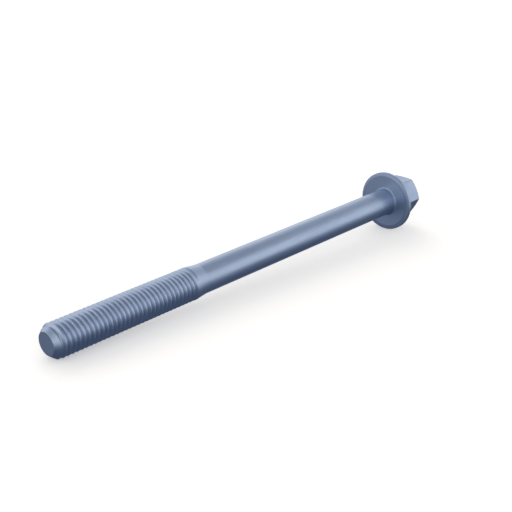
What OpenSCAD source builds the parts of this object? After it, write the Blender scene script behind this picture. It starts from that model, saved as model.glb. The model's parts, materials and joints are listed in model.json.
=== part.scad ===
// Hex flange bolt with a reduced shank and a rolled metric thread.
// It lies at rest on its flange and on the end of its thread.
// The origin is the centre of the bearing face, and the thread points along +X.

/* [Lengths] */
// Length from the bearing face to the end of the thread
bolt_length = 170; // [120:1:240]
// Length from the end of the thread back to the taper
thread_length = 58.5; // [30:0.5:90]
// Length of the taper between the thread and the shank
taper_length = 5; // [1:0.5:10]

/* [Thread] */
// Thread diameter
thread_d = 12; // [11.5:0.1:13]
// Distance from one crest to the next
pitch = 1.75; // [1:0.25:2]
// Plain collar between the taper and the first groove
collar_length = 0.4; // [0.2:0.1:3]
// Length over which the last grooves become shallow
runout_length = 1; // [0.5:0.5:6]
// Diameter of the flat end of the thread
point_d = 8; // [6:0.1:9]
// Length of the chamfer at the end of the thread
point_length = 2.4; // [1:0.1:4]
// Straight steps in each turn of the thread
turn_steps = 24; // [16:4:32]

/* [Shank] */
// Diameter of the plain shank
shank_d = 10.7; // [9.5:0.1:11.2]
// Fillet radius between the shank and the bearing face
fillet_r = 0.7; // [0.3:0.1:1.5]

/* [Flange] */
// Diameter of the flange
flange_d = 24.4; // [22.5:0.1:28]
// Outer diameter of the flat bearing face
bearing_d = 21.4; // [16:0.1:22.2]
// How far the flange's edge lies behind the bearing face
edge_fall = 0.2; // [0.1:0.05:1.5]
// Height of the rim, with its rounded edges
rim_height = 1.5; // [0.6:0.1:2.5]
// Radius of the rim's two edges
rim_edge_r = 0.35; // [0.1:0.05:1.2]
// Slope of the back of the flange, in degrees
back_angle = 25; // [10:1:30]

/* [Head] */
// Width across the flats of the hexagon
across_flats = 15; // [13:0.1:17]
// Height from the bearing face to the top of the head
head_height = 13.6; // [9:0.1:18]
// Diameter of the round flat on top of the head
top_d = 14; // [11:0.1:14.8]
// Slope of the chamfer around the top of the head, in degrees
top_angle = 30; // [15:1:35]

/* [Hidden] */
// Above 12 sides a circle is a true circle
$fn = 96;

flange_r = flange_d / 2;
bearing_r = bearing_d / 2;
shank_r = shank_d / 2;
thread_r = thread_d / 2;
point_r = point_d / 2;
top_r = top_d / 2;
corner_r = across_flats / 2 / cos(30);

// The rim's edges are two round tubes, one inside the front slope and one inside the back slope.
// The profile meets them a little inside, so that its lines cross the tubes and don't just touch them.
rim_back = edge_fall + rim_height;
front_angle = atan(edge_fall / (flange_r - bearing_r));
tube_r = min(rim_edge_r, rim_height / 2);
tube_seat_r = tube_r - 0.02;
tube_ring_r = flange_r - tube_r;
front_tube = -edge_fall + tube_r * (tan(front_angle) - 1 / cos(front_angle));
back_tube = -rim_back - tube_r * (tan(back_angle) - 1 / cos(back_angle));

// The collar starts where the taper ends
collar_start = bolt_length - thread_length;
collar_end = collar_start + collar_length;
taper_start = collar_start - taper_length;

// A 60 degree thread: its crests are an eighth of the pitch wide and its grooves a quarter at the bottom
crest_relief = 0.02;
crest_r = thread_r - crest_relief;
crest_flat_r = crest_r * cos(180 / turn_steps);
groove_depth = pitch * 0.6134;
corner_places = [0, 1/4, 9/16, 11/16];
corner_depths = [1, 1, 0, 0];
corners = len(corner_places);

// The helix ends just short of the flat end, and comes out of a ring inside the collar
helix_margin = pitch / 8;
rod_start = collar_end - collar_length / 2;
last_place = corner_places[corners - 1];
helix_end = bolt_length - helix_margin;
turns = ceil((helix_end - rod_start) / pitch - last_place);
helix_start = helix_end - pitch * (turns + last_place);

// The bolt leans until the rim's front edge and the flat of a step near the end touch the ground together
rest_run = bolt_length - point_length - front_tube;
rest_rise = tube_ring_r - crest_flat_r;
rest_angle = atan(rest_rise / rest_run) + asin(tube_r / norm([rest_run, rest_rise]));

function groove_share(z) = min(1, max(0, (z - collar_end) / runout_length));
function point_cone_r(z) = point_r + (bolt_length - z) * (thread_r - point_r) / point_length;
function thread_surface_r(z, depth) =
    min(crest_r - depth * groove_depth * groove_share(z), point_cone_r(z));
function ring_point(r, step, z) = [r * cos(360 * step / turn_steps), r * sin(360 * step / turn_steps), z];
function helix_z(step, i) =
    helix_start + pitch * (floor(i / corners) + step / turn_steps + corner_places[i % corners]);

// Point numbers of one column along the thread, from the ring in the collar to the ring at the flat end.
// Places of the helix that would lie before the first ring are that ring's own point.
column_size = corners * turns;
first_ring = turn_steps * column_size;
last_ring = first_ring + turn_steps;
function column(step) = [
    first_ring + step,
    for (i = [0 : column_size - 1]) helix_z(step, i) > rod_start ? step * column_size + i : first_ring + step,
    last_ring + step
];
function is_triangle(t) = t[0] != t[1] && t[1] != t[2] && t[2] != t[0];
function strip(left, right) = [
    for (i = [0 : len(left) - 2])
    for (t = [[left[i], left[i + 1], right[i + 1]], [left[i], right[i + 1], right[i]]])
    if (is_triangle(t)) t
];

// Right-hand thread, swept along its helix
module thread() {
    points = [
        for (step = [0 : turn_steps - 1])
        for (i = [0 : column_size - 1])
        let (z = helix_z(step, i))
        ring_point(thread_surface_r(z, corner_depths[i % corners]), step, z),
        for (step = [0 : turn_steps - 1]) ring_point(crest_r, step, rod_start),
        for (step = [0 : turn_steps - 1]) ring_point(point_r, step, bolt_length)
    ];
    // One turn on, the last column meets the first one a pitch further along
    before_seam = [for (i = [1 : corners]) first_ring + turn_steps - 1];
    after_seam = [for (i = [1 : corners]) last_ring];
    faces = [
        for (step = [0 : turn_steps - 2]) each strip(column(step), column(step + 1)),
        each strip(concat(before_seam, column(turn_steps - 1)), concat(column(0), after_seam)),
        [for (step = [0 : turn_steps - 1]) first_ring + step],
        [for (step = [turn_steps - 1 : -1 : 0]) last_ring + step]
    ];
    polyhedron(points, faces);
}

// Everything round but the thread: flange, shank with its fillet, taper and collar
module turned_body() {
    core_r = across_flats / 4;
    rotate_extrude() {
        polygon([
            [0, -rim_back - (flange_r - core_r) * tan(back_angle)],
            [core_r, -rim_back - (flange_r - core_r) * tan(back_angle)],
            [tube_ring_r + tube_seat_r * sin(back_angle), back_tube - tube_seat_r * cos(back_angle)],
            [tube_ring_r + tube_seat_r, back_tube],
            [tube_ring_r + tube_seat_r, front_tube],
            [tube_ring_r + tube_seat_r * sin(front_angle), front_tube + tube_seat_r * cos(front_angle)],
            [bearing_r, 0],
            [shank_r, 0],
            [shank_r, taper_start],
            [thread_r, collar_start],
            [thread_r, collar_end],
            [0, collar_end]
        ]);
        for (tube = [front_tube, back_tube])
            translate([tube_ring_r, tube])
                circle(tube_r);
        translate([shank_r, 0])
            difference() {
                square(fillet_r);
                translate([fillet_r, fillet_r])
                    circle(fillet_r);
            }
    }
}

// Hexagon with its top corners turned to a cone
module hexagon() {
    wide_r = corner_r * 1.2;
    intersection() {
        translate([0, 0, -head_height])
            rotate(30)
                cylinder(r = corner_r, h = head_height - rim_back, $fn = 6);
        rotate_extrude()
            polygon([
                [0, -head_height],
                [top_r, -head_height],
                [wide_r, -head_height + (wide_r - top_r) * tan(top_angle)],
                [wide_r, 0],
                [0, 0]
            ]);
    }
}

module hex_flange_bolt() {
    color([0.52, 0.59, 0.70])
        rotate([0, 90 + rest_angle, 0]) {
            turned_body();
            hexagon();
            // Half a step on, so that the bolt lies on flats and not on corners
            rotate(180 / turn_steps)
                thread();
        }
}

hex_flange_bolt();
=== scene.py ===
"""Looks of the hex flange bolt: a finely modelled surface, its plated finish and a plain studio."""
import json
import math
from collections import namedtuple

import bpy
import numpy as np
from mathutils import Matrix, Vector


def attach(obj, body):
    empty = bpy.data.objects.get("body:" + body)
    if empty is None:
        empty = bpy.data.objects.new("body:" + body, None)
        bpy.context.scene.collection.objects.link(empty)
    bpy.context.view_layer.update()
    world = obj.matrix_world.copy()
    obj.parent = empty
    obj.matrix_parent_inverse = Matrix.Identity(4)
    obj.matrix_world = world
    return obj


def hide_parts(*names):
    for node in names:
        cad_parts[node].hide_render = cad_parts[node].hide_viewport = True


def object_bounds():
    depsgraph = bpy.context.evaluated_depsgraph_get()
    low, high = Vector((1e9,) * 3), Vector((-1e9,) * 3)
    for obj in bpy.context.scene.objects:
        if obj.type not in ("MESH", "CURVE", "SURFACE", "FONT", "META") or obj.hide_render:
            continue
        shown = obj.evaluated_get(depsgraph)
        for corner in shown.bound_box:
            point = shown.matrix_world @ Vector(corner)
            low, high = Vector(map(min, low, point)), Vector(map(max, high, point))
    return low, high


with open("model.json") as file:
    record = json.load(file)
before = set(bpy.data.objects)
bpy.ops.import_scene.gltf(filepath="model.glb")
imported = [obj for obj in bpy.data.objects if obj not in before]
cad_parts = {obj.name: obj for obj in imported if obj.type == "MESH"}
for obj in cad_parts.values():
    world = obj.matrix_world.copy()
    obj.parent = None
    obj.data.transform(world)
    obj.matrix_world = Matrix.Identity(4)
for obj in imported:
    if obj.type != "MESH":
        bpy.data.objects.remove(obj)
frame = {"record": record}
cad_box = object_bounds()

# Sizes in millimetres, as in the part's source
MM = 0.001
BOLT_LENGTH = 170.0
THREAD_LENGTH = 58.5
TAPER_LENGTH = 5.0
THREAD_R = 6.0
PITCH = 1.75
COLLAR_LENGTH = 0.4
RUNOUT_LENGTH = 1.0
POINT_R = 4.0
POINT_LENGTH = 2.4
SHANK_R = 5.35
FILLET_R = 0.7
FLANGE_R = 12.2
BEARING_R = 10.7
EDGE_FALL = 0.2
RIM_HEIGHT = 1.5
RIM_EDGE_R = 0.35
BACK_ANGLE = math.radians(25)
FLAT_R = 7.5
HEAD_HEIGHT = 13.6
TOP_R = 7.0
TOP_ANGLE = math.radians(30)

# Half of the angle around the axis that one side of the hexagon takes
HALF_FACE = math.radians(30)

# Places along the bolt, from the bearing face
RIM_BACK = EDGE_FALL + RIM_HEIGHT
COLLAR_START = BOLT_LENGTH - THREAD_LENGTH
COLLAR_END = COLLAR_START + COLLAR_LENGTH
TAPER_START = COLLAR_START - TAPER_LENGTH

# A 60 degree thread, as shares of the pitch and of the groove's depth. Its round crests lie between
# the flats and the corners of the solid's stepped ones.
CREST_RELIEF = 0.05
CREST_R = THREAD_R - CREST_RELIEF
GROOVE_DEPTH = 0.6134 * PITCH
THREAD_CORNERS = ((0, 1), (1 / 4, 1), (9 / 16, 0), (11 / 16, 0))
LAST_PLACE = THREAD_CORNERS[-1][0]
HELIX_MARGIN = PITCH / 8
HELIX_END = BOLT_LENGTH - HELIX_MARGIN
TURNS = math.ceil((HELIX_END - COLLAR_END) / PITCH - LAST_PLACE)
HELIX_START = HELIX_END - PITCH * (TURNS + LAST_PLACE)

# The bolt leans as its bearing face does in the frame
BEARING_FACE = next(mount for mount in frame["record"]["mounts"] if mount["name"] == "bearing_face")
REST_ANGLE = math.atan2(-BEARING_FACE["axis"][2], BEARING_FACE["axis"][0])
LAID_DOWN = math.pi / 2 + REST_ANGLE

# Radii of the edges that forging and rolling leave
HEX_CORNER_R = 0.7
TOP_EDGE_R = 0.35
FOOT_R = 0.6
BEARING_EDGE_R = 4.5
TAPER_START_R = 9.0
TAPER_END_R = 1.0
POINT_EDGE_R = 0.2
CREST_EDGE_R = 0.09
ROOT_R = 0.25
SHARP_TURN = math.radians(60)

# How strong the painted shade lines along the flange's front edges and the painted shade in the fillet are;
# a sharp hollow counts as 1
EDGE_PAINTED_SHADE = 2.4
FILLET_PAINTED_SHADE = 1.6

# Fineness of the mesh
HEAD_COLUMNS = 288
THREAD_COLUMNS = HEAD_COLUMNS // 2
CORNER_CROWDING = 0.7
SUPPORT = 0.12
LEAST_STEP = 0.03
SHANK_RINGS = 12

# Most that an arc may take of the straight stretch beside it, and that its support row may lie beyond it
ARC_SHARE = 0.45
SUPPORT_SHARE = 0.5

# Depths in the thread, as shares of the groove's, down to which it is worn and from which it is burnished
# and lifted with painted light
CREST_WEAR_DEPTH = 0.3
ROLLED_PAINTED_LIGHT_DEPTH = 0.4

# A corner of a profile, with the radius, steps and painted shade of its arc, and one row of the mesh
Corner = namedtuple("Corner", "r z radius steps zone grime", defaults=[0.0])
Row = namedtuple("Row", "r z wear grime zone")


class Skin:
    """Points and faces of one closed surface around the bolt's axis, with each point's wear and the painted
    shade and light on it.
    """

    def __init__(self):
        self.points = []
        self.wear = []
        self.grime = []
        self.faces = []
        self.zones = []

    def point(self, r, z, angle, wear=0.0, grime=0.0):
        self.points.append((r * math.cos(angle), r * math.sin(angle), z))
        self.wear.append(wear)
        self.grime.append(grime)
        return len(self.points) - 1

    def face(self, corners, zone):
        """Adds a face without the corners that repeat the one before them."""
        kept = [corner for i, corner in enumerate(corners) if corner != corners[i - 1]]
        if len(kept) > 2:
            self.faces.append(kept)
            self.zones.append(zone)

    def strip(self, left, right, zones):
        for i, zone in enumerate(zones):
            self.face([left[i], right[i], right[i + 1], left[i + 1]], zone)


def rounded(corners, support=SUPPORT):
    """Rows along a profile with rounded corners: sharp edges are worn, sharp hollows get painted shade.

    The metal lies to the left of the profile. A support row beside each arc keeps flat faces flat.
    """
    rows = []
    for i, corner in enumerate(corners):
        if not corner.radius:
            rows.append(Row(corner.r, corner.z, 0.0, 0.0, corner.zone))
            continue
        here = np.array([corner.r, corner.z])
        before = np.array(corners[i - 1][:2]) - here
        after = np.array(corners[i + 1][:2]) - here
        room = ARC_SHARE * min(np.linalg.norm(before), np.linalg.norm(after))
        before /= np.linalg.norm(before)
        after /= np.linalg.norm(after)
        half = math.acos(np.clip(before @ after, -1, 1)) / 2
        reach = min(corner.radius / math.tan(half), room)
        radius = reach * math.tan(half)
        middle = here + (before + after) / np.linalg.norm(before + after) * radius / math.sin(half)
        start = here + before * reach - middle
        end = here + after * reach - middle
        first = math.atan2(start[1], start[0])
        turn = math.atan2(start[0] * end[1] - start[1] * end[0], start @ end)
        beside = reach + min(support, SUPPORT_SHARE * reach)
        if support:
            rows.append(Row(*(here + before * beside), 0.0, 0.0, corner.zone))
        sharpness = min(1, abs(turn) / SHARP_TURN)
        for k in range(corner.steps + 1):
            angle = first + turn * k / corner.steps
            r, z = middle + radius * np.array([math.cos(angle), math.sin(angle)])
            arc = math.sin(math.pi * k / corner.steps)
            share = sharpness * arc
            wear = share * (turn > 0 and not corner.grime)
            # Concave arcs, and corners given a strength of their own, get painted shade
            grime = max(share * (turn < 0), arc * corner.grime)
            rows.append(Row(r, z, wear, grime, corner.zone))
        if support:
            rows.append(Row(*(here + after * beside), 0.0, 0.0, corner.zone))
    return rows


def hexagon_r(angle):
    """Radius of the hexagon with rounded corners, and how near the direction is to a corner (0 to 1)."""
    from_middle = (angle + HALF_FACE) % (2 * HALF_FACE) - HALF_FACE
    from_corner = HALF_FACE - abs(from_middle)
    inner = FLAT_R - HEX_CORNER_R
    arc_half = HALF_FACE - math.atan(inner * math.tan(HALF_FACE) / FLAT_R)
    if from_corner >= arc_half:
        return FLAT_R / math.cos(from_middle), 0.0
    arc_middle = inner / math.cos(HALF_FACE)
    across = arc_middle * math.sin(from_corner)
    r = arc_middle * math.cos(from_corner) + math.sqrt(HEX_CORNER_R ** 2 - across ** 2)
    return r, 1 - from_corner / arc_half


def column_angles(i):
    """Angle of a column on the hexagon, where columns crowd towards the corners, and on what is round."""
    even = 2 * math.pi * i / HEAD_COLUMNS
    face = round(even / (2 * HALF_FACE)) * 2 * HALF_FACE
    share = (even - face) / HALF_FACE
    crowded = (1 - CORNER_CROWDING) * share + CORNER_CROWDING * math.sin(share * math.pi / 2)
    return face + crowded * HALF_FACE, even


def head_rows(hex_angle):
    """Rows of one column, from the top of the head to the collar where the thread starts."""
    hex_r, nearness = hexagon_r(hex_angle)
    chamfer_end = -HEAD_HEIGHT + (hex_r - TOP_R) * math.tan(TOP_ANGLE)
    foot = -RIM_BACK - (FLANGE_R - hex_r) * math.tan(BACK_ANGLE)
    shank_rings = [
        Corner(SHANK_R, TAPER_START * k / (SHANK_RINGS + 1), 0, 0, "shank")
        for k in range(1, SHANK_RINGS + 1)
    ]
    rows = rounded([
        Corner(TOP_R / 2, -HEAD_HEIGHT, 0, 0, "top"),
        Corner(TOP_R, -HEAD_HEIGHT, TOP_EDGE_R, 4, "top"),
        Corner(hex_r, chamfer_end, TOP_EDGE_R, 4, "hexagon"),
        Corner(hex_r, foot, FOOT_R, 5, "hexagon"),
        Corner(FLANGE_R, -RIM_BACK, RIM_EDGE_R, 6, "flange"),
        # The flange's front edge and the bearing face's edge get lines of painted shade, and the fillet
        # gets painted shade
        Corner(FLANGE_R, -EDGE_FALL, RIM_EDGE_R, 6, "flange", EDGE_PAINTED_SHADE),
        Corner(BEARING_R, 0, BEARING_EDGE_R, 6, "bearing", EDGE_PAINTED_SHADE),
        Corner(SHANK_R, 0, FILLET_R, 7, "bearing", FILLET_PAINTED_SHADE),
        *shank_rings,
        Corner(SHANK_R, TAPER_START, TAPER_START_R, 5, "shank"),
        Corner(THREAD_R, COLLAR_START, TAPER_END_R, 4, "shank"),
        Corner((THREAD_R + CREST_R) / 2, (COLLAR_START + COLLAR_END) / 2, 0, 0, "shank"),
    ])
    return [row._replace(wear=max(row.wear, nearness * (row.zone == "hexagon"))) for row in rows]


def thread_rows():
    """One pitch of the thread as (share of the pitch, share of the groove's depth)."""
    places = [(LAST_PLACE - 1, 0), *THREAD_CORNERS, (1, 1)]
    radius_at = {0: CREST_EDGE_R, 1: ROOT_R}
    steps_at = {0: 2, 1: 3}
    corners = [
        Corner(-depth * GROOVE_DEPTH, place * PITCH, radius_at[depth], steps_at[depth], "thread")
        for place, depth in places
    ]
    corners[0] = corners[0]._replace(radius=0)
    corners[-1] = corners[-1]._replace(radius=0)
    return [(row.z / PITCH, -row.r / GROOVE_DEPTH) for row in rounded(corners, support=0)[1:-1]]


def thread_surface(z, depth):
    """Radius of the thread, and how deep its grooves already are there (0 to 1)."""
    share = min(1, max(0, (z - COLLAR_END) / RUNOUT_LENGTH))
    smooth = share * share * (3 - 2 * share)
    cone_r = POINT_R + (BOLT_LENGTH - z) * (THREAD_R - POINT_R) / POINT_LENGTH
    return min(CREST_R - depth * GROOVE_DEPTH * smooth, cone_r), smooth


def add_head(skin):
    """Head, flange and shank. Returns the last ring, in the collar."""
    columns = []
    for i in range(HEAD_COLUMNS):
        hex_angle, even_angle = column_angles(i)
        rows = head_rows(hex_angle)
        angles = [hex_angle if row.zone in ("top", "hexagon") else even_angle for row in rows]
        columns.append([
            skin.point(row.r, row.z, angle, row.wear, row.grime) for row, angle in zip(rows, angles)
        ])
    zones = [row.zone for row in rows[1:]]
    centre = skin.point(0, -HEAD_HEIGHT, 0)
    for i in range(HEAD_COLUMNS):
        left, right = columns[i - 1], columns[i]
        skin.face([centre, right[0], left[0]], "top")
        skin.strip(left, right, zones)
    return [column[-1] for column in columns]


def add_thread(skin, collar):
    """Thread and point, joined to the last ring of the shank."""
    one_pitch = thread_rows()
    point_start = BOLT_LENGTH - HELIX_MARGIN / 2
    point_rows = rounded([
        Corner(thread_surface(point_start, 0)[0], point_start, 0, 0, "point"),
        Corner(POINT_R, BOLT_LENGTH, POINT_EDGE_R, 4, "point"),
        Corner(POINT_R / 2, BOLT_LENGTH, 0, 0, "point"),
    ])
    first_ring, columns, points = [], [], []
    for i in range(THREAD_COLUMNS):
        share = i / THREAD_COLUMNS
        angle = 2 * math.pi * share
        first_ring.append(skin.point(CREST_R, COLLAR_END, angle))
        column = []
        for turn in range(TURNS):
            for place, depth in one_pitch:
                z = HELIX_START + PITCH * (turn + place + share)
                if z < COLLAR_END + LEAST_STEP:
                    # The helix comes out of the collar's ring
                    column.append(first_ring[i])
                    continue
                r, cut = thread_surface(z, depth)
                wear = max(0, 1 - depth / CREST_WEAR_DEPTH) * cut
                # Deep in the grooves the thread turns lighter: burnish from the dies and painted light that
                # lifts the grooves' shade
                grime = max(0, depth - ROLLED_PAINTED_LIGHT_DEPTH) / (1 - ROLLED_PAINTED_LIGHT_DEPTH) * cut
                column.append(skin.point(r, z, angle, wear, grime))
        columns.append(column)
        points.append([skin.point(row.r, row.z, angle, row.wear, row.grime) for row in point_rows])

    centre = skin.point(0, BOLT_LENGTH, 0)
    zones = ["thread"] * (len(columns[0]) + 1)
    for i in range(THREAD_COLUMNS):
        j = (i + 1) % THREAD_COLUMNS
        a, b, c = collar[2 * i], collar[2 * i + 1], collar[(2 * i + 2) % HEAD_COLUMNS]
        skin.face([a, b, first_ring[i]], "shank")
        skin.face([b, first_ring[j], first_ring[i]], "shank")
        skin.face([b, c, first_ring[j]], "shank")
        left = [first_ring[i], *columns[i], points[i][0]]
        right = [first_ring[j], *columns[j], points[j][0]]
        if j == 0:
            # One turn on, the last column meets the first one a pitch further along
            left = [first_ring[i]] * len(one_pitch) + left
            right = right + [points[j][0]] * len(one_pitch)
            zones = zones + ["thread"] * len(one_pitch)
        skin.strip(left, right, zones)
        skin.strip(points[i], points[j], ["point"] * (len(point_rows) - 1))
        skin.face([points[i][-1], points[j][-1], centre], "point")


def add_bolt(material_of_zone):
    """The whole bolt as one surface, laid down as it rests, which replaces the CAD solid."""
    skin = Skin()
    add_thread(skin, add_head(skin))
    mesh = bpy.data.meshes.new("bolt_surface")
    mesh.from_pydata([[c * MM for c in point] for point in skin.points], [], skin.faces)
    mesh.transform(Matrix.Rotation(LAID_DOWN, 4, "Y"))
    materials = list(dict.fromkeys(material_of_zone.values()))
    for material in materials:
        mesh.materials.append(material)
    order = [materials.index(material_of_zone[zone]) for zone in skin.zones]
    mesh.polygons.foreach_set("material_index", order)
    mesh.polygons.foreach_set("use_smooth", [True] * len(mesh.polygons))
    # Wear marks worn edges; the other attribute holds painted shade in hollows and along edge lines, and
    # painted light in the thread's roots
    for name, values in (("wear", skin.wear), ("grime", skin.grime)):
        mesh.attributes.new(name, "FLOAT", "POINT").data.foreach_set("value", values)
    mesh.update()
    bolt = bpy.data.objects.new("hex_flange_bolt_surface", mesh)
    bpy.context.scene.collection.objects.link(bolt)
    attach(bolt, "root")
    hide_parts("hex_flange_bolt")


# Colours of the plating, from its cloudy parts to its bright ones, of bare edges, of the painted shade in
# deep corners and of the thread's grooves, burnished and lightened with painted light
PLATING_CLOUDY = (0.325, 0.402, 0.552, 1)
PLATING_BRIGHT = (0.400, 0.482, 0.628, 1)
BURNISHED = (0.540, 0.610, 0.720, 1)
SHADED = (0.150, 0.195, 0.285, 1)
# Lighter colour of the thread's roots: burnish and painted light
ROLLED_PAINTED_LIGHT = (0.650, 0.720, 0.820, 1)
METALLIC = 0.92

# Sizes of the plating's clouds, mottle and grain in millimetres, and their shares in its tone
CLOUD_SIZE = 7.0
MOTTLE_SIZE = 0.9
GRAIN_SIZE = 0.12
CLOUD_SHARE = 0.40
MOTTLE_SHARE = 0.30
MARKS_SHARE = 0.30

# Range that noise covers for the most part, and how unevenly edges are worn and painted shade and light lie
# in hollows
NOISE_ROUGHNESS = 0.6
NOISE_RANGE = (0.35, 0.65)
MARKS_RANGE = (0.3, 0.7)
TONE_RANGE = (0.34, 0.66)
WORN_RANGE = (0.35, 1.0)
PAINT_PATCH_RANGE = (0.75, 1.0)

# How much of an edge's worn colour and of the painted shade and light in hollows shows
EDGE_SHARE = 0.35
ROLLED_EDGE_SHARE = 0.15
HOLLOW_SHARE = 0.28

# What marks, clouds, worn edges and hollows add to the roughness, and the grain to the height of marks
MARKS_DULL = 0.05
CLOUDS_DULL = 0.025
EDGES_DULL = -0.08
HOLLOWS_DULL = 0.06
GRAIN_HEIGHT = 0.25


class Finish:
    """Nodes of one plated finish, worked out in millimetres along the bolt's own axis."""

    def __init__(self, name):
        self.material = bpy.data.materials.new(name)
        self.material.use_nodes = True
        self.tree = self.material.node_tree
        self.shader = self.tree.nodes["Principled BSDF"]
        where = self.add("ShaderNodeTexCoord").outputs["Object"]
        upright = {"Vector": where, "Rotation": (0, -LAID_DOWN, 0), "Scale": (1 / MM,) * 3}
        self.place = self.add("ShaderNodeMapping", upright).outputs["Vector"]

    def add(self, kind, inputs=None, **settings):
        node = self.tree.nodes.new(kind)
        for name, value in settings.items():
            setattr(node, name, value)
        for name, value in (inputs or {}).items():
            self.feed(node.inputs[name], value)
        return node

    def feed(self, socket, value):
        if isinstance(value, bpy.types.NodeSocket):
            self.tree.links.new(value, socket)
        else:
            socket.default_value = value

    def math(self, operation, a, b):
        node = self.add("ShaderNodeMath", operation=operation)
        self.feed(node.inputs[0], a)
        self.feed(node.inputs[1], b)
        return node.outputs[0]

    def noise(self, size, detail, place=None, stretch=(1, 1, 1)):
        """Noise from 0 to 1 with lumps of about the given size, drawn out along the stretched axes."""
        scaled = self.add("ShaderNodeVectorMath", operation="MULTIPLY")
        self.feed(scaled.inputs[0], place or self.place)
        self.feed(scaled.inputs[1], [1 / (size * s) for s in stretch])
        inputs = {
            "Vector": scaled.outputs[0], "Scale": 1.0, "Detail": detail, "Roughness": NOISE_ROUGHNESS,
        }
        return self.add("ShaderNodeTexNoise", inputs).outputs["Fac"]

    def spread(self, value, span, to=(0.0, 1.0)):
        """Maps a range of values to another one, and no further."""
        inputs = {
            "Value": value, "From Min": span[0], "From Max": span[1], "To Min": to[0], "To Max": to[1],
        }
        return self.add("ShaderNodeMapRange", inputs).outputs["Result"]

    def blend(self, amount, low, high):
        node = self.add("ShaderNodeMix", {"Factor": amount}, data_type="RGBA")
        colours = [socket for socket in node.inputs if socket.type == "RGBA"]
        self.feed(colours[0], low)
        self.feed(colours[1], high)
        return next(socket for socket in node.outputs if socket.type == "RGBA")

    def attribute(self, name):
        return self.add("ShaderNodeAttribute", attribute_name=name).outputs["Fac"]

    def around_axis(self):
        """Place as (distance from the axis, 0, place along the axis)."""
        split = self.add("ShaderNodeSeparateXYZ", {"Vector": self.place})
        flat = self.add("ShaderNodeCombineXYZ", {"X": split.outputs["X"], "Y": split.outputs["Y"]})
        length = self.add("ShaderNodeVectorMath", {0: flat.outputs["Vector"]}, operation="LENGTH")
        joined = self.add("ShaderNodeCombineXYZ", {"X": length.outputs["Value"], "Z": split.outputs["Z"]})
        return joined.outputs["Vector"]

    def plate(
        self, marks, marks_depth, roughness, cloud_stretch=(1, 1, 1), edge_share=EDGE_SHARE, hollow=SHADED,
    ):
        """Joins the plating's clouds, the marks of working, the worn edges and the painted shade and light
        of hollows into the shader.
        """
        clouds = self.noise(CLOUD_SIZE, detail=3.0, stretch=cloud_stretch)
        mottle = self.noise(MOTTLE_SIZE, detail=4.0, stretch=cloud_stretch)
        grain = self.noise(GRAIN_SIZE, detail=2.0)
        cloudy = self.math("MULTIPLY", clouds, CLOUD_SHARE)
        mottled = self.math("MULTIPLY", mottle, MOTTLE_SHARE)
        marked = self.math("MULTIPLY", marks, MARKS_SHARE)
        tone = self.math("ADD", self.math("ADD", cloudy, mottled), marked)

        worn = self.spread(mottle, NOISE_RANGE, WORN_RANGE)
        edges = self.math("MULTIPLY", self.attribute("wear"), worn)
        # Painted shade darkens hollows and edge lines; in the thread the same mask paints light into the
        # roots
        paint_patchiness = self.spread(mottle, NOISE_RANGE, PAINT_PATCH_RANGE)
        hollows = self.math("MULTIPLY", self.attribute("grime"), paint_patchiness)
        colour = self.blend(self.spread(tone, TONE_RANGE), PLATING_CLOUDY, PLATING_BRIGHT)
        colour = self.blend(self.math("MULTIPLY", edges, edge_share), colour, BURNISHED)
        colour = self.blend(self.math("MULTIPLY", hollows, HOLLOW_SHARE), colour, hollow)

        dull = self.spread(marks, MARKS_RANGE, (roughness - MARKS_DULL, roughness + MARKS_DULL))
        dull = self.math("ADD", dull, self.spread(clouds, NOISE_RANGE, (CLOUDS_DULL, -CLOUDS_DULL)))
        dull = self.math("ADD", dull, self.math("MULTIPLY", edges, EDGES_DULL))
        dull = self.math("ADD", dull, self.math("MULTIPLY", hollows, HOLLOWS_DULL))

        height = self.math("ADD", marks, self.math("MULTIPLY", grain, GRAIN_HEIGHT))
        bump = self.add("ShaderNodeBump", {"Height": height, "Strength": 1.0, "Distance": marks_depth * MM})
        self.feed(self.shader.inputs["Base Color"], colour)
        self.feed(self.shader.inputs["Roughness"], dull)
        self.feed(self.shader.inputs["Normal"], bump.outputs["Normal"])
        self.shader.inputs["Metallic"].default_value = METALLIC
        return self.material


def forged_finish():
    """Head and flange: the soft lumps of a forged blank under the plating."""
    finish = Finish("plated_forged")
    lumps = finish.noise(size=0.9, detail=4.0)
    return finish.plate(lumps, marks_depth=0.030, roughness=0.38)


def drawn_finish():
    """Shank: fine lines along the axis, from the drawn wire."""
    finish = Finish("plated_drawn")
    lines = finish.noise(size=0.40, detail=3.0, stretch=(1, 1, 45))
    return finish.plate(lines, marks_depth=0.010, roughness=0.34, cloud_stretch=(1, 1, 5))


def turned_finish():
    """Bearing face and end: fine rings around the axis."""
    finish = Finish("plated_turned")
    rings = finish.noise(size=0.3, detail=3.0, place=finish.around_axis())
    return finish.plate(rings, marks_depth=0.008, roughness=0.40)


def rolled_finish():
    """Thread: flanks burnished around the axis by the rolling dies, with painted light lifting the shade in
    the grooves' roots.
    """
    finish = Finish("plated_rolled")
    rings = finish.noise(size=0.22, detail=2.0, place=finish.around_axis())
    return finish.plate(
        rings, marks_depth=0.005, roughness=0.36, edge_share=ROLLED_EDGE_SHARE, hollow=ROLLED_PAINTED_LIGHT,
    )


# Half the floor's width in metres, its colour, and the glow that keeps it near white far from the bolt
FLOOR_REACH = 6.0
FLOOR_COLOUR = (0.95, 0.911, 0.852, 1)
FLOOR_GLOW = 0.32


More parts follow.
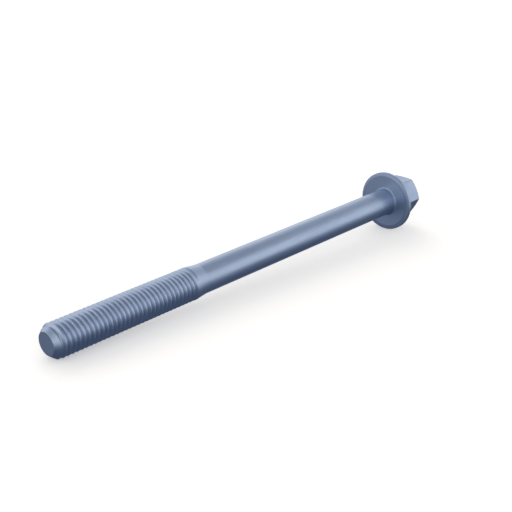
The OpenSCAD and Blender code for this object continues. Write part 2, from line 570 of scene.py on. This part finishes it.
def add_floor():
    """Plain pale floor that only the camera sees, so that the bolt's underside stays dark."""
    low = cad_box[0].z
    mesh = bpy.data.meshes.new("floor")
    sides = ((-1, -1), (1, -1), (1, 1), (-1, 1))
    corners = [(x * FLOOR_REACH, y * FLOOR_REACH, low) for x, y in sides]
    mesh.from_pydata(corners, [], [(0, 1, 2, 3)])
    material = bpy.data.materials.new("floor_white")
    material.use_nodes = True
    shader = material.node_tree.nodes["Principled BSDF"]
    shader.inputs["Base Color"].default_value = FLOOR_COLOUR
    shader.inputs["Roughness"].default_value = 1.0
    shader.inputs["Specular IOR Level"].default_value = 0.0
    shader.inputs["Emission Color"].default_value = (1, 1, 1, 1)
    shader.inputs["Emission Strength"].default_value = FLOOR_GLOW
    mesh.materials.append(material)
    floor = bpy.data.objects.new("floor", mesh)
    floor.visible_glossy = False
    floor.visible_diffuse = False
    floor.visible_transmission = False
    bpy.context.scene.collection.objects.link(floor)


# Light of the studio by the sine of the elevation: dark below, bright walls, a softer ceiling
STUDIO_LIGHT = (
    (-0.75, (0.09, 0.120, 0.18)),
    (-0.50, (0.12, 0.150, 0.21)),
    (-0.38, (0.20, 0.235, 0.30)),
    (-0.24, (0.32, 0.370, 0.45)),
    (-0.01, (1.00, 1.000, 1.02)),
    (0.20, (1.16, 1.160, 1.16)),
    (0.50, (1.06, 1.060, 1.07)),
    (0.72, (0.44, 0.465, 0.51)),
    (1.00, (0.42, 0.450, 0.50)),
)


def add_studio():
    """World light that changes only with the elevation."""
    world = bpy.data.worlds.new("studio")
    bpy.context.scene.world = world
    world.use_nodes = True
    nodes, links = world.node_tree.nodes, world.node_tree.links
    where = nodes.new("ShaderNodeTexCoord")
    split = nodes.new("ShaderNodeSeparateXYZ")
    links.new(where.outputs["Generated"], split.inputs["Vector"])
    height = nodes.new("ShaderNodeMapRange")
    height.inputs["From Min"].default_value = -1
    links.new(split.outputs["Z"], height.inputs["Value"])
    ramp = nodes.new("ShaderNodeValToRGB")
    links.new(height.outputs["Result"], ramp.inputs["Fac"])
    stops = ramp.color_ramp.elements
    while len(stops) < len(STUDIO_LIGHT):
        stops.new(1.0)
    for stop, (sine, colour) in zip(stops, STUDIO_LIGHT):
        stop.position = (sine + 1) / 2
        stop.color = (*colour, 1)
    links.new(ramp.outputs["Color"], nodes["Background"].inputs["Color"])


# A wide soft light from above and behind the bolt, which spreads its shadow towards the camera
SOFT_LIGHT_FROM = Vector((-0.6, -1.3, 1.0))
SOFT_LIGHT_WIDTH = math.radians(50)
SOFT_LIGHT_STRENGTH = 0.75


def add_soft_light():
    """Lights the floor but isn't mirrored in the metal, whose reflections come from the studio."""
    lamp = bpy.data.lights.new("soft_light", "SUN")
    lamp.angle = SOFT_LIGHT_WIDTH
    lamp.energy = SOFT_LIGHT_STRENGTH
    soft_light = bpy.data.objects.new("soft_light", lamp)
    soft_light.rotation_euler = SOFT_LIGHT_FROM.to_track_quat("Z", "Y").to_euler()
    soft_light.visible_glossy = False
    bpy.context.scene.collection.objects.link(soft_light)


# The photograph's camera, placed from the bearing face with the bolt's axis level
SENSOR_WIDTH = 36.0
NEAREST = 0.01
FARTHEST = 20
FRAME_PIXELS = 512
FOCAL_PIXELS = 955.4
VIEW_AZIMUTH = math.radians(43.86)
VIEW_ELEVATION = math.radians(23.93)
CAMERA_AT = Vector((309.0, 221.8, 141.9)) * MM


def add_camera():
    """Turns the camera with the lying bolt, so that the bolt is seen as in the photograph."""
    camera = bpy.data.cameras.new("camera")
    camera.sensor_width = SENSOR_WIDTH
    camera.lens = FOCAL_PIXELS * SENSOR_WIDTH / FRAME_PIXELS
    camera.clip_start = NEAREST
    camera.clip_end = FARTHEST
    eye = bpy.data.objects.new("camera", camera)
    back = Vector((
        math.cos(VIEW_ELEVATION) * math.cos(VIEW_AZIMUTH),
        math.cos(VIEW_ELEVATION) * math.sin(VIEW_AZIMUTH),
        math.sin(VIEW_ELEVATION),
    ))
    right = Vector((0, 0, 1)).cross(back).normalized()
    level = Matrix((right, back.cross(right), back)).transposed().to_4x4()
    level.translation = CAMERA_AT
    eye.matrix_world = Matrix.Rotation(REST_ANGLE, 4, "Y") @ level
    bpy.context.scene.collection.objects.link(eye)
    bpy.context.scene.camera = eye


add_camera()
forged = forged_finish()
turned = turned_finish()
add_bolt({
    "top": forged,
    "hexagon": forged,
    "flange": forged,
    "bearing": turned,
    "shank": drawn_finish(),
    "thread": rolled_finish(),
    "point": turned,
})
add_floor()
add_studio()
add_soft_light()
bpy.context.scene.view_settings.view_transform = "Standard"
